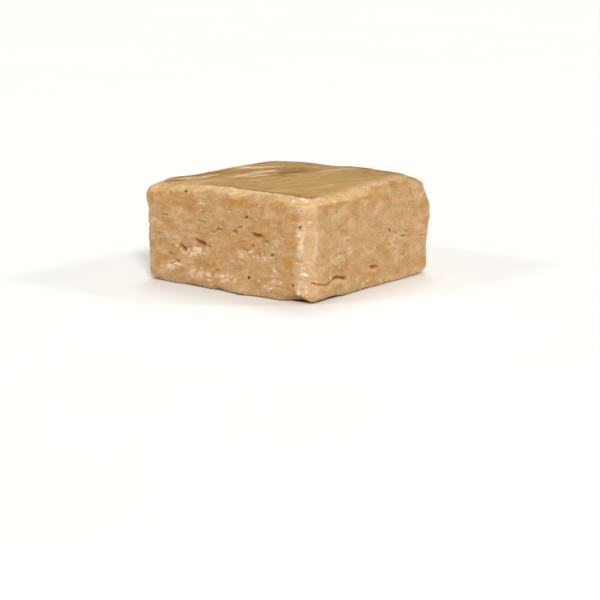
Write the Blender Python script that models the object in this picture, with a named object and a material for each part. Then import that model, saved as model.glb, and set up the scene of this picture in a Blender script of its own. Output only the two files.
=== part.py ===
"""One cube of soft fudge, cut from a slab with a knife.

The piece is a single solid. It starts as a box, its corners and rims are rounded, and it is then shaped the
way soft fudge is shaped: the sides bulge and tear as the knife goes down, the foot slumps outwards in a lip,
one bottom edge is dragged up into an undercut, and the poured top stays a little uneven.

Frame: +X is to the right and -Y to the front, +Z is up, and the origin is the middle of the base.
"""

import math
from dataclasses import dataclass

import bmesh
import bpy
from mathutils import Vector, noise

MM = 0.001

# Driving dimensions of the cut block, in millimetres.
LENGTH = 43.1
DEPTH = 42.2
HEIGHT = 20.4

# Radii: the upright corners seen from above, the top rim and the foot.
CORNER_RADIUS = 1.5
BLUNT_CORNER_RADIUS = 2.7
RIM_RADIUS = 1.3
FOOT_RADIUS = 0.6

# Cells between the rounded edges: along the length, the depth and the height.
CELLS = (26, 26, 12)

# Slow unevenness of the cut sides: how far they stray, and how long and how tall each swell is.
SWELL = 0.28
SWELL_LENGTH = 7.5
SWELL_HEIGHT = 3.6

# The knife drags the top's edges down, so the poured top stands above its rims, with a sloping shoulder along
# each side. The left shoulder is so wide that the top leans down to it.
CROWN = 0.7
FRONT_SHOULDER = 3.6
RIGHT_SHOULDER = 3.8
BACK_SHOULDER = 4.2
LEFT_SHOULDER = 14.0

# Slow unevenness of the poured top: how far it strays, and the size of each swell.
TOP_SWELL = 0.16
TOP_SWELL_SIZE = (10.0, 14.0)

FUDGE_COLOUR = (0.584, 0.352, 0.162, 1.0)
FUDGE_ROUGHNESS = 0.48


@dataclass(frozen=True)
class Press:
    """A push on the soft block, strongest at its place and gone at its reach. All in millimetres."""

    place: tuple
    reach: tuple
    push: tuple

    def move(self, point):
        """How far this press moves the point."""
        away = sum(((p - c) / r) ** 2 for p, c, r in zip(point, self.place, self.reach))
        if away >= 1:
            return Vector((0, 0, 0))
        return Vector(self.push) * (1 - away) ** 2


RIGHT, LEFT = LENGTH / 2, -LENGTH / 2
FRONT, BACK = -DEPTH / 2, DEPTH / 2

CORNERS = (
    # The corner between front and right side is flattened, because the knife came back up along it.
    Press((RIGHT, FRONT, 11.4), (5, 5, 17), (-0.3, 0.3, 0)),
    # Front left: a shoulder, a notch under it, and a lower half that steps back.
    Press((LEFT, FRONT, 17.4), (5, 6, 3.4), (-0.7, 0, 0)),
    Press((LEFT, FRONT, 15.2), (4, 5, 1.7), (0.4, 0.2, 0)),
    Press((LEFT, FRONT, 4.2), (5, 8, 4.6), (0.25, 0, 0)),
    Press((LEFT, FRONT, HEIGHT), (9, 8, 5), (0.1, 0.2, -0.9)),
    Press((LEFT, FRONT, 0), (4, 4, 3), (0.2, 0.2, 0.5)),
    # Back right: drawn in at the top and bulging below it, with a softened foot.
    Press((RIGHT, BACK, HEIGHT), (7, 7, 4), (0, -1.4, -0.3)),
    Press((RIGHT, BACK, 14.2), (7, 8, 4.6), (0, 0.8, 0)),
    Press((RIGHT, BACK, 6.9), (5, 6, 4.4), (0, -0.45, 0)),
    Press((RIGHT, BACK, 0), (4, 5, 3), (0, 0.1, 0.4)),
    # Back left: a plain softened corner with a slumped foot.
    Press((LEFT, BACK, HEIGHT), (6, 6, 3), (0.4, -0.3, -0.15)),
    Press((LEFT, BACK, 12), (6, 6, 5), (-0.4, 0.3, 0)),
    Press((LEFT, BACK, 0), (6, 6, 3), (0.1, 0, 0.6)),
)

SIDES = (
    # Front: two hollows where crumbs were pulled out, a swollen foot, and a short lip on it.
    Press((-8.5, FRONT, 7.8), (6.5, 4, 2.7), (0, 0.6, 0)),
    Press((-14.2, FRONT, 5.2), (3.2, 3, 2), (0, 0.5, 0)),
    Press((9, FRONT, 10), (7, 4, 3), (0, 0.35, 0)),
    Press((-4, FRONT, 2.5), (20, 4, 3.4), (0, -0.45, 0)),
    Press((4, FRONT, 0.8), (4.6, 4, 2), (0, -0.7, 0)),
    # Right side: a smooth lip along the foot, thickest near the front corner.
    Press((RIGHT, -12.5, 1.4), (4, 14, 2.8), (0.8, 0, 0)),
    Press((RIGHT, -8, 4.8), (4, 15, 1.7), (-0.45, 0, 0)),
    Press((RIGHT, 8, 1), (4, 16, 2.6), (0.45, 0, 0)),
    Press((RIGHT, 6, 12.4), (4, 9, 5), (0.3, 0, 0)),
    # Back: a broad bulge over a hollow, and a lip at its left end.
    Press((6, BACK, 13), (12, 4, 5), (0, 0.4, 0)),
    Press((-5, BACK, 7), (9, 4, 3), (0, -0.5, 0)),
    Press((-10, BACK, 1.2), (8, 4, 2.4), (0, 0.5, 0)),
    # Left side: one long hollow under the shoulder.
    Press((LEFT, 4, 11), (4, 12, 3.4), (0.5, 0, 0)),
    Press((LEFT, 10, 2), (4, 9, 2.6), (-0.45, 0, 0)),
)

TOP = (
    # The back rim stands a little proud, and a low ridge runs along the left rim.
    Press((9, BACK, HEIGHT), (20, 10, 4), (0, 0, 0.45)),
    Press((LEFT + 2.4, 4, HEIGHT), (2.6, 20, 2), (0, 0, 0.25)),
)

UNDERSIDE = (
    # The front bottom edge is dragged up beside the blunt corner, and the lip hangs down past it.
    Press((19.3, FRONT - 0.3, 0), (4.8, 4.2, 4.5), (0, 0.1, 2.1)),
    Press((RIGHT - 0.4, FRONT + 0.8, 0.6), (2.2, 3, 2.6), (0.3, -0.15, -1.3)),
)


def cut_places(low, high, low_radius, high_radius, cells):
    """The planes that cut one axis into cells, closer together where its ends are rounded.

    The plane between each end and its cells puts the rounding's vertices at even angles.
    """
    bend = math.tan(math.pi / 8)
    start, stop = low + low_radius, high - high_radius
    inner = [start + (stop - start) * step / cells for step in range(cells + 1)]
    return [start - low_radius * bend, *inner, stop + high_radius * bend]


def gridded_box():
    """A box with its base on Z = 0, cut by planes along each axis into a grid."""
    mesh = bmesh.new()
    bmesh.ops.create_cube(mesh, size=1)
    bmesh.ops.scale(mesh, vec=(LENGTH, DEPTH, HEIGHT), verts=mesh.verts)
    bmesh.ops.translate(mesh, vec=(0, 0, HEIGHT / 2), verts=mesh.verts)
    planes = (
        cut_places(LEFT, RIGHT, RIM_RADIUS, RIM_RADIUS, CELLS[0]),
        cut_places(FRONT, BACK, RIM_RADIUS, RIM_RADIUS, CELLS[1]),
        cut_places(0, HEIGHT, FOOT_RADIUS, RIM_RADIUS, CELLS[2]),
    )
    for axis, places in enumerate(planes):
        normal = Vector((0, 0, 0))
        normal[axis] = 1
        for place in places:
            parts = [*mesh.verts, *mesh.edges, *mesh.faces]
            bmesh.ops.bisect_plane(mesh, geom=parts, plane_co=normal * place, plane_no=normal)
    return mesh


def clamped(value, low, high):
    """The value, kept between low and high."""
    return min(max(value, low), high)


def rounded(point):
    """A point of the box moved onto the box with round corners and rims."""
    corner = BLUNT_CORNER_RADIUS if point.x > 0 > point.y else CORNER_RADIUS
    rim = RIM_RADIUS if point.z > HEIGHT / 2 else FOOT_RADIUS
    core = Vector(
        (clamped(point.x, LEFT + corner, RIGHT - corner), clamped(point.y, FRONT + corner, BACK - corner), 0)
    )
    spread = Vector((point.x, point.y, 0)) - core
    if spread.length > corner - rim:
        spread = spread.normalized() * (corner - rim)
    core += spread
    core.z = clamped(point.z, FOOT_RADIUS, HEIGHT - RIM_RADIUS)
    return core + (point - core).normalized() * rim


def share_of_side(point):
    """1 on the upright sides, falling to 0 on the flat top and base."""
    top = clamped((HEIGHT - point.z) / (2 * RIM_RADIUS), 0, 1)
    base = clamped(point.z / (2 * RIM_RADIUS), 0, 1)
    return min(top, base)


def outward(point):
    """The level direction that points out of the nearest side."""
    across, along = point.x / RIGHT, point.y / BACK
    return Vector((across**9, along**9, 0)).normalized()


def side_swell(point):
    """The slow unevenness of the cut sides."""
    where = Vector((point.x / SWELL_LENGTH, point.y / SWELL_LENGTH, point.z / SWELL_HEIGHT))
    return outward(point) * (noise.noise(where) * SWELL * share_of_side(point))


def top_swell(point):
    """The slow unevenness of the poured top, which its rim shares."""
    share = clamped((point.z - HEIGHT + 2 * RIM_RADIUS) / RIM_RADIUS, 0, 1)
    where = Vector((point.x / TOP_SWELL_SIZE[0], point.y / TOP_SWELL_SIZE[1], 7))
    return Vector((0, 0, TOP_SWELL * share * noise.noise(where)))


def eased(value):
    """0 up to 0 and 1 from 1, with a smooth slope between them."""
    part = clamped(value, 0, 1)
    return part * part * (3 - 2 * part)


def crown(point):
    """How far the poured top stands above its rims."""
    if point.z < HEIGHT - RIM_RADIUS / 2:
        return Vector((0, 0, 0))
    across = eased((point.x - LEFT) / LEFT_SHOULDER) * eased((RIGHT - point.x) / RIGHT_SHOULDER)
    along = eased((point.y - FRONT) / FRONT_SHOULDER) * eased((BACK - point.y) / BACK_SHOULDER)
    return Vector((0, 0, CROWN * across * along))


def shaped(point):
    """A point of the rounded box moved to where it is on the finished piece."""
    moved = point + side_swell(point) + top_swell(point) + crown(point)
    for press in (*CORNERS, *SIDES, *TOP, *UNDERSIDE):
        moved += press.move(point)
    moved.z = max(moved.z, 0)
    return moved


def centre_on_base(mesh):
    """Puts the middle of the base's bounding box on the origin."""
    for axis in (0, 1):
        places = [vertex.co[axis] for vertex in mesh.verts]
        middle = (min(places) + max(places)) / 2
        for vertex in mesh.verts:
            vertex.co[axis] -= middle


def fudge_material():
    """Plain soft fudge: light tan and waxy."""
    material = bpy.data.materials.new("fudge")
    material.use_nodes = True
    shader = material.node_tree.nodes["Principled BSDF"]
    shader.inputs["Base Color"].default_value = FUDGE_COLOUR
    shader.inputs["Roughness"].default_value = FUDGE_ROUGHNESS
    return material


def fudge_block():
    """The whole piece as one object."""
    mesh = gridded_box()
    for vertex in mesh.verts:
        vertex.co = shaped(rounded(vertex.co))
    centre_on_base(mesh)
    bmesh.ops.scale(mesh, vec=(MM, MM, MM), verts=mesh.verts)
    bmesh.ops.triangulate(mesh, faces=mesh.faces)
    bmesh.ops.recalc_face_normals(mesh, faces=mesh.faces)
    data = bpy.data.meshes.new("fudge_block")
    mesh.to_mesh(data)
    mesh.free()
    data.shade_smooth()
    data.materials.append(fudge_material())
    block = bpy.data.objects.new("fudge_block", data)
    bpy.context.scene.collection.objects.link(block)
    return block


for old in list(bpy.data.objects):
    bpy.data.objects.remove(old)
fudge_block()
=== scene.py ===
"""The looks of one cube of soft fudge, cut from a slab with a knife.

The block's solid is the frame. Its skin is a fine copy of it, sculpted with the tears, pits, ripples and
scrapes that a knife leaves in soft fudge, and dotted with sugar crystals, dark specks and crumbs.

Lengths inside the classes are in millimetres. A mesh becomes metres as its last step.
"""

import logging
import math
import random
from collections.abc import Callable
from dataclasses import dataclass, field
from enum import Enum
from functools import partial

import bmesh
import bpy
import numpy as np
from mathutils import Euler, Matrix, Vector, noise


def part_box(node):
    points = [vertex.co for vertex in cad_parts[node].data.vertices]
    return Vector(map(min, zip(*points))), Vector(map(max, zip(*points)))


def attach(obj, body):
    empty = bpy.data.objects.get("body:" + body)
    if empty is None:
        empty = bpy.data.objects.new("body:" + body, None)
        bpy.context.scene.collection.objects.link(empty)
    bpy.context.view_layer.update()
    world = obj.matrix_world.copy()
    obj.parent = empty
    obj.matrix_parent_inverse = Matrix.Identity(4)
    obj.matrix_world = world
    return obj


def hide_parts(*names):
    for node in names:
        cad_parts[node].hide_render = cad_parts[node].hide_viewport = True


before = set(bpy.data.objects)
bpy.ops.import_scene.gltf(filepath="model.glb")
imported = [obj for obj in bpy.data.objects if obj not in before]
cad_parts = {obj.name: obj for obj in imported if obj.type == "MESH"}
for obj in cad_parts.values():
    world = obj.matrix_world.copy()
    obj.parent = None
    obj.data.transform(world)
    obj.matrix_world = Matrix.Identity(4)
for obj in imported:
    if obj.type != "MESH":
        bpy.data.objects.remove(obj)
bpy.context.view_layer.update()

MM = 0.001
BLOCK = "fudge_block"
BODY = "root"

Place = tuple[float, float]
Size = tuple[float, float, float]

log = logging.getLogger("fudge")


class Side(Enum):
    """The four cut sides. Each value is the level direction that the side faces."""

    FRONT = (0, -1)
    RIGHT = (1, 0)
    BACK = (0, 1)
    LEFT = (-1, 0)

    def outward(self) -> np.ndarray:
        """The direction that the side faces."""
        return np.array((*self.value, 0.0))

    def along(self) -> np.ndarray:
        """The level direction that runs to the right, seen from outside."""
        x, y = self.value
        return np.array((-y, x, 0.0))


# How far the main face of each side stands from the middle. The box is a little wider, because lips and bulges
# stand out of the faces.
BULGE = {Side.FRONT: 0.75, Side.RIGHT: 0.65, Side.BACK: 0.75, Side.LEFT: 0.65}
BOX_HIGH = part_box(BLOCK)[1] / MM
RIM_HEIGHT = BOX_HIGH.z - 1.0


def distance_of(side: Side) -> float:
    """How far the main face of a side stands from the middle of the block.

    Args:
        side: one of the four cut sides.

    Returns:
        The distance in millimetres.
    """
    half = BOX_HIGH.x if side in (Side.LEFT, Side.RIGHT) else BOX_HIGH.y
    return half - BULGE[side]


def linear(code: str) -> tuple[float, float, float, float]:
    """Turns an sRGB colour code into the linear colour that shaders take.

    Args:
        code: the colour as "#rrggbb".

    Returns:
        Red, green, blue and an alpha of 1.
    """
    parts = [int(code[start : start + 2], 16) / 255 for start in (1, 3, 5)]
    red, green, blue = (p / 12.92 if p <= 0.04045 else ((p + 0.055) / 1.055) ** 2.4 for p in parts)
    return red, green, blue, 1.0


def eased(value: np.ndarray) -> np.ndarray:
    """0 up to 0 and 1 from 1, with a smooth slope between them."""
    part = np.clip(value, 0, 1)
    return part * part * (3 - 2 * part)


def swells(points: np.ndarray, size: float | Size, seed: float) -> np.ndarray:
    """Smooth noise at each point, about -0.5 to 0.5.

    Args:
        points: places in millimetres, one to a row.
        size: how far apart the swells are, in millimetres, the same each way or one for each axis.
        seed: picks another pattern.

    Returns:
        One value to a point.
    """
    places = points / np.broadcast_to(size, 3) + (seed * 7.31, seed * 3.17, seed * 5.73)
    return np.array([noise.noise(place) for place in places.tolist()])


def add_node(tree: bpy.types.NodeTree, kind: str, inputs: dict | None = None, out: int | str = 0, **settings):
    """Adds a node with its settings and links.

    Args:
        tree: the node tree that it goes in.
        kind: the node's type name.
        inputs: for each input's name or number, a value or the output socket that it is linked to.
        out: the name or number of the output that is wanted.
        settings: values of the node's own properties.

    Returns:
        The wanted output socket.
    """
    node = tree.nodes.new(kind)
    for name, value in settings.items():
        setattr(node, name, value)
    for name, value in (inputs or {}).items():
        if isinstance(value, bpy.types.NodeSocket):
            tree.links.new(value, node.inputs[name])
        else:
            node.inputs[name].default_value = value
    return node.outputs[out]


def new_material(name: str) -> tuple[bpy.types.Material, Callable[..., bpy.types.NodeSocket], bpy.types.Node]:
    """A new material, with the function that adds to its nodes and its Principled shader."""
    material = bpy.data.materials.new(name)
    material.use_nodes = True
    return material, partial(add_node, material.node_tree), material.node_tree.nodes["Principled BSDF"]


def per_metre(size: float) -> float:
    """The scale of a pattern whose features are that many millimetres apart."""
    return 1 / (size * MM)


@dataclass(frozen=True)
class FudgeFinish:
    """Soft caramel fudge: boiled sugar, butter and milk, poured into a slab and cut before it is hard.

    It is waxy and lets a little light in, which warms its cracks. Its cut sides are grainy and glisten with
    butter, torn places are paler, and the poured top dries to a darker, smoother skin. Some of its colours are
    painted light: painted shade in cracks, pits, hollows and grooves, and painted highlights and sheen on bumps,
    ledges, ridges, rims and the skin's folds.
    """

    tan: str = "#BE9763"
    cream: str = "#D0AC87"
    caramel: str = "#B48343"
    # golden: butter stains, and also a warm painted shade round the cracks
    golden: str = "#BA8334"
    # pale: torn fudge's paler tone, and painted highlights on crack ledges, the skin's edge ridge and the corner
    pale: str = "#E6C9AA"
    # grain: the fudge's pale grain, and also the painted highlight on raised bumps
    grain: str = "#D6BA91"
    # rim: the cut rim's paler tone, partly a painted highlight where the edge turns to the light
    rim_tone_and_highlight: str = "#D4B07B"
    skin: str = "#AF884B"
    # painted sheen: a pale colour that stands for highlights on the skin's folds
    painted_sheen: str = "#DDC299"
    # dark tone and shade: a darker tone of the skin, and painted shade in its grooves and at its edge
    dark_tone_and_shade: str = "#7E5A1F"
    # shade: painted shade in the hollows of the relief
    shade: str = "#A37A45"
    # crevice: painted shade in cracks and pits
    crevice: str = "#8A5812"
    scatter_depth: float = 0.42
    blotch_size: float = 3.6
    butter_size: float = 2.6
    fleck_size: float = 1.0
    grain_size: float = 0.42
    crumb_size: float = 0.16
    pressed: float = 1.6
    streak_size: Size = (1.3, 7.0, 1.3)

    def material(self) -> bpy.types.Material:
        """The fudge's material. It reads the shares that the sculpting stores in the skin's attributes."""
        material, add, shader = new_material("waxy_fudge")
        spot = add("ShaderNodeTexCoord", out="Object")
        spot = add("ShaderNodeMapping", {"Vector": spot, "Scale": (1, 1, self.pressed)})
        colour = self.colour(add, spot)
        add_link = material.node_tree.links.new
        add_link(colour, shader.inputs["Base Color"])
        skin = add("ShaderNodeAttribute", attribute_name="skin", out="Fac")
        smooth = add("ShaderNodeAttribute", attribute_name="smooth", out="Fac")
        fleck = add("ShaderNodeTexNoise", {"Vector": spot, "Scale": per_metre(0.8), "Detail": 2.0}, "Fac")
        matt = add("ShaderNodeMapRange", {0: fleck, 1: 0.35, 2: 0.65, 3: 0.2, 4: 0.48})
        gloss = add("ShaderNodeMapRange", {0: fleck, 1: 0.35, 2: 0.65, 3: 0.46, 4: 0.54})
        add_link(add("ShaderNodeMix", {0: skin, 2: matt, 3: gloss}), shader.inputs["Roughness"])
        grain = add("ShaderNodeTexVoronoi", {"Vector": spot, "Scale": per_metre(self.grain_size)}, "Distance")
        crumb = add("ShaderNodeTexNoise", {"Vector": spot, "Scale": per_metre(self.crumb_size), "Detail": 2.0}, "Fac")
        height = add("ShaderNodeMath", {0: crumb, 1: grain}, operation="SUBTRACT")
        strength = add("ShaderNodeMapRange", {0: smooth, 1: 0.0, 2: 1.0, 3: 0.34, 4: 0.0})
        bump = add("ShaderNodeBump", {"Height": height, "Strength": strength, "Distance": 0.14 * MM})
        add_link(bump, shader.inputs["Normal"])
        add_link(add("ShaderNodeMapRange", {0: skin, 3: 0.5, 4: 0.25}), shader.inputs["Specular IOR Level"])
        shader.inputs["IOR"].default_value = 1.46
        shader.inputs["Subsurface Weight"].default_value = 0.6
        shader.inputs["Subsurface Radius"].default_value = (1.0, 0.62, 0.34)
        shader.inputs["Subsurface Scale"].default_value = self.scatter_depth * MM
        return material

    def colour(self, add: Callable, spot: bpy.types.NodeSocket) -> bpy.types.NodeSocket:
        """Lays the fudge's colours over each other, painted highlights, sheen and shade among them.

        Args:
            add: adds a node to the material.
            spot: the place on the block.

        Returns:
            The colour.
        """
        blotch = {"Vector": spot, "Scale": per_metre(self.blotch_size), "Detail": 2.0}
        butter = {"Vector": spot, "Scale": per_metre(self.butter_size), "Detail": 1.0, "Distortion": 0.6}
        fleck = {"Vector": spot, "Scale": per_metre(self.fleck_size), "Detail": 1.0}
        grain = {"Vector": spot, "Scale": per_metre(self.grain_size), "Detail": 1.0}
        stretch = tuple(per_metre(size) for size in self.streak_size)
        along = add("ShaderNodeMapping", {"Vector": spot, "Rotation": (0, 0, -0.35), "Scale": stretch})
        blotch = add("ShaderNodeTexNoise", blotch, "Fac")
        butter = add("ShaderNodeTexNoise", butter, "Fac")
        fleck = add("ShaderNodeTexNoise", fleck, "Fac")
        grain = add("ShaderNodeTexNoise", grain, "Fac")
        streak = add("ShaderNodeTexNoise", {"Vector": along, "Scale": 1.0, "Detail": 1.0}, "Fac")
        colour = linear(self.tan)
        for noise_of, low, high, most, code in (
            (blotch, 0.5, 0.34, 0.8, self.caramel),
            (blotch, 0.5, 0.68, 0.7, self.cream),
            (butter, 0.52, 0.72, 0.45, self.golden),
            (fleck, 0.46, 0.3, 0.18, self.caramel),
            (fleck, 0.54, 0.7, 0.2, self.cream),
            (grain, 0.56, 0.7, 0.07, self.grain),
        ):
            share = {0: noise_of, 1: low, 2: high, 3: 0.0, 4: most}
            share = add("ShaderNodeMapRange", share, interpolation_type="SMOOTHSTEP")
            colour = add("ShaderNodeMix", {0: share, 6: colour, 7: linear(code)}, 2, data_type="RGBA")
        top = linear(self.skin)
        # Streaks of painted shade and painted sheen over the skin's colour.
        for low, high, most, code in ((0.5, 0.3, 0.28, self.dark_tone_and_shade), (0.54, 0.72, 0.15, self.painted_sheen)):
            share = {0: streak, 1: low, 2: high, 3: 0.0, 4: most}
            share = add("ShaderNodeMapRange", share, interpolation_type="SMOOTHSTEP")
            top = add("ShaderNodeMix", {0: share, 6: top, 7: linear(code)}, 2, data_type="RGBA")
        # Shares from the sculpting: the fudge's own tones, and painted light, that is painted highlights, sheen and
        # shade.
        for name, code in (
            ("rim_tone_and_highlight", self.rim_tone_and_highlight),
            ("golden", self.golden),
            ("torn_tone_and_highlight", self.pale),
            ("bump_highlight", self.grain),
            ("skin", top),
            ("painted_sheen", self.painted_sheen),
            ("dark_tone_and_shade", self.dark_tone_and_shade),
            ("shade", self.shade),
            ("crevice_shade", self.crevice),
        ):
            share = add("ShaderNodeAttribute", attribute_name=name, out="Fac")
            over = code if isinstance(code, bpy.types.NodeSocket) else linear(code)
            colour = add("ShaderNodeMix", {0: share, 6: colour, 7: over}, 2, data_type="RGBA")
        return colour


@dataclass(frozen=True)
class SugarFinish:
    """Sugar crystals that never dissolved: nearly white, glassy and a little see-through."""

    clear: str = "#EBD0B0"
    milky: str = "#F7E5D2"
    scatter_depth: float = 0.4
    roughness: float = 0.22
    cloud_size: float = 1.3

    def material(self) -> bpy.types.Material:
        """The crystals' material."""
        material, add, shader = new_material("sugar_crystal")
        spot = add("ShaderNodeTexCoord", out="Object")
        cloud = add("ShaderNodeTexNoise", {"Vector": spot, "Scale": per_metre(self.cloud_size)}, "Fac")
        share = add("ShaderNodeMapRange", {0: cloud, 1: 0.35, 2: 0.65})
        colour = {0: share, 6: linear(self.clear), 7: linear(self.milky)}
        colour = add("ShaderNodeMix", colour, 2, data_type="RGBA")
        material.node_tree.links.new(colour, shader.inputs["Base Color"])
        shader.inputs["Roughness"].default_value = self.roughness
        shader.inputs["IOR"].default_value = 1.54
        shader.inputs["Subsurface Weight"].default_value = 0.5
        shader.inputs["Subsurface Radius"].default_value = (1.0, 0.8, 0.55)
        shader.inputs["Subsurface Scale"].default_value = self.scatter_depth * MM
        return material


@dataclass(frozen=True)
class SpeckFinish:
    """Scorched milk: dark brown flecks, hard and a little shiny."""

    dark: str = "#5A300F"
    edge: str = "#875620"
    roughness: float = 0.6
    cloud_size: float = 0.4

    def material(self) -> bpy.types.Material:
        """The specks' material."""
        material, add, shader = new_material("scorched_milk")
        spot = add("ShaderNodeTexCoord", out="Object")
        cloud = add("ShaderNodeTexNoise", {"Vector": spot, "Scale": per_metre(self.cloud_size)}, "Fac")
        share = add("ShaderNodeMapRange", {0: cloud, 1: 0.45, 2: 0.7})
        colour = add("ShaderNodeMix", {0: share, 6: linear(self.dark), 7: linear(self.edge)}, 2, data_type="RGBA")
        material.node_tree.links.new(colour, shader.inputs["Base Color"])
        shader.inputs["Roughness"].default_value = self.roughness
        shader.inputs["Specular IOR Level"].default_value = 0.1
        return material


@dataclass(frozen=True)
class CrumbFinish:
    """Loose crumbs of the fudge: the same paste, paler and duller where it broke."""

    pale: str = "#E4C8A0"
    tan: str = "#CFA56E"
    roughness: float = 0.35
    cloud_size: float = 0.9

    def material(self) -> bpy.types.Material:
        """The crumbs' material."""
        material, add, shader = new_material("fudge_crumb")
        spot = add("ShaderNodeTexCoord", out="Object")
        cloud = add("ShaderNodeTexNoise", {"Vector": spot, "Scale": per_metre(self.cloud_size)}, "Fac")
        share = add("ShaderNodeMapRange", {0: cloud, 1: 0.35, 2: 0.6})
        colour = add("ShaderNodeMix", {0: share, 6: linear(self.tan), 7: linear(self.pale)}, 2, data_type="RGBA")
        material.node_tree.links.new(colour, shader.inputs["Base Color"])
        shader.inputs["Roughness"].default_value = self.roughness
        shader.inputs["Subsurface Weight"].default_value = 0.5
        shader.inputs["Subsurface Radius"].default_value = (1.0, 0.5, 0.22)
        shader.inputs["Subsurface Scale"].default_value = 0.5 * MM
        return material


@dataclass(frozen=True)
class TableFinish:
    """A white painted table top: matt, plain and pale."""

    light: str = "#EFEEEC"
    dark: str = "#ECEBE9"
    roughness: float = 0.75
    cloud_size: float = 90.0

    def material(self) -> bpy.types.Material:
        """The floor's material."""
        material, add, shader = new_material("white_paint")
        spot = add("ShaderNodeTexCoord", out="Object")
        cloud = add("ShaderNodeTexNoise", {"Vector": spot, "Scale": per_metre(self.cloud_size)}, "Fac")
        colour = add("ShaderNodeMix", {0: cloud, 6: linear(self.dark), 7: linear(self.light)}, 2, data_type="RGBA")
        material.node_tree.links.new(colour, shader.inputs["Base Color"])
        shader.inputs["Roughness"].default_value = self.roughness
        shader.inputs["Specular IOR Level"].default_value = 0.2
        return material


@dataclass
class Cloud:
    """The skin's vertices before they are sculpted, in millimetres, with the direction that each one faces."""

    points: np.ndarray
    normals: np.ndarray

    def facing(self, direction: np.ndarray, start: float = 0.45, full: float = 0.85) -> np.ndarray:
        """How much each vertex faces a direction: 0 up to the start cosine, and 1 from the full one."""
        return eased((self.normals @ direction - start) / (full - start))

    def on_side(self, side: Side) -> tuple[np.ndarray, np.ndarray, np.ndarray]:
        """Where each vertex is on one side.

        Args:
            side: one of the four cut sides.

        Returns:
            The place along the side, the height, and how much the vertex belongs to the side.
        """
        return self.points @ side.along(), self.points[:, 2], self.facing(side.outward())


@dataclass(frozen=True)
class Tear:
    """A crack in a cut side, where the knife dragged the fudge apart.

    Above the gap is a small brow, and below it a scooped ledge slopes back out. The gap is painted dark with crevice
    shade and a warm golden painted shade round it, and the ledge is painted paler as a highlight.
    """

    side: Side
    path: tuple[Place, ...]
    depth: float = 0.5
    gap: float = 0.18
    ledge: float = 0.12
    ledge_height: float = 0.9
    brow: float = 0.06
    dark: float = 0.9
    taper: float = 0.6

    def across(self, cloud: Cloud) -> tuple[np.ndarray, np.ndarray]:
        """How high each vertex is above the crack, and how open the crack is there, from 0 to 1."""
        along, height, share = cloud.on_side(self.side)
        places, heights = zip(*self.path)
        line = np.interp(along, places, heights) + 0.14 * swells(cloud.points, 0.9, 3)
        end = np.minimum(along - places[0], places[-1] - along)
        return height - line, np.sqrt(np.clip(end / self.taper, 0, 1)) * share

    def near(self, cloud: Cloud) -> np.ndarray:
        """Which vertices are so near the crack that it needs a finer mesh there."""
        above, opening = self.across(cloud)
        return (np.abs(above) < 3 * self.gap) & (opening > 0)

    def carve(self, cloud: Cloud, marks: "Marks") -> None:
        """Adds the crack to the marks."""
        above, opening = self.across(cloud)
        if not opening.any():
            return
        gap = self.gap * (0.5 + 0.5 * opening)
        groove = np.exp(-((above / gap) ** 4)) * opening
        brow = np.exp(-(((above - 2 * gap) / (1.4 * gap)) ** 2)) * opening
        scoop = np.exp(-((above / np.where(above < 0, self.ledge_height, 1.5 * gap)) ** 2)) * opening
        marks.outwards += self.brow * brow - self.depth * groove - self.ledge * scoop
        marks.upwards += 0.1 * self.depth * groove
        # Painted shade: a dark crevice colour in the gap and a warm golden shade round it; the ledge below gets a paler
        # painted highlight.
        core = np.exp(-(((above + 0.2 * gap) / (1.05 * gap)) ** 4)) * opening
        marks.deepen("crevice_shade", self.dark * core)
        marks.deepen("golden", 0.9 * self.dark * np.exp(-(((above + 0.4 * gap) / (2.2 * gap)) ** 2)) * opening)
        marks.deepen("torn_tone_and_highlight", 0.3 * np.exp(-(((above + 2.6 * gap) / (1.6 * gap)) ** 2)) * opening)


@dataclass(frozen=True)
class TornPatch:
    """A place where crumbs came away with the knife: a shallow, flaky, paler hollow."""

    side: Side
    centre: Place
    reach: Place
    depth: float = 0.25
    slant: float = 0.0
    pale: float = 0.8

    def share(self, cloud: Cloud) -> np.ndarray:
        """How much each vertex belongs to the patch, with a ragged edge."""
        along, height, share = cloud.on_side(self.side)
        across = (along - self.centre[0]) / self.reach[0]
        up = (height - self.centre[1] - self.slant * (along - self.centre[0])) / self.reach[1]
        ragged = 0.8 * swells(cloud.points, 1.8, 11) + 0.5 * swells(cloud.points, 0.8, 12)
        return eased((1.1 - across**2 - up**2 + ragged) / 0.9) * share

    def carve(self, cloud: Cloud, marks: "Marks") -> None:
        """Adds the patch to the marks."""
        share = self.share(cloud)
        flakes = swells(cloud.points, (1.1, 1.1, 0.6), 13) + 0.7 * swells(cloud.points, 0.55, 14)
        marks.outwards += share * (0.34 * flakes - self.depth)
        marks.deepen("torn_tone_and_highlight", self.pale * share * np.clip(0.62 + 1.1 * flakes, 0, 1))


@dataclass(frozen=True)
class Blot:
    """A round or oval place on a side, such as a butter-brown stain, with its size and strength."""

    side: Side
    centre: Place
    reach: Place
    strength: float = 1.0

    def carve(self, cloud: Cloud, marks: "Marks") -> None:
        """Adds the stain to the marks."""
        along, height, share = cloud.on_side(self.side)
        away = ((along - self.centre[0]) / self.reach[0]) ** 2 + ((height - self.centre[1]) / self.reach[1]) ** 2
        ragged = 1.1 * swells(cloud.points, 0.9, 21)
        marks.deepen("golden", 0.95 * self.strength * eased((1.5 - away + ragged) / 1.3) * share)


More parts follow.
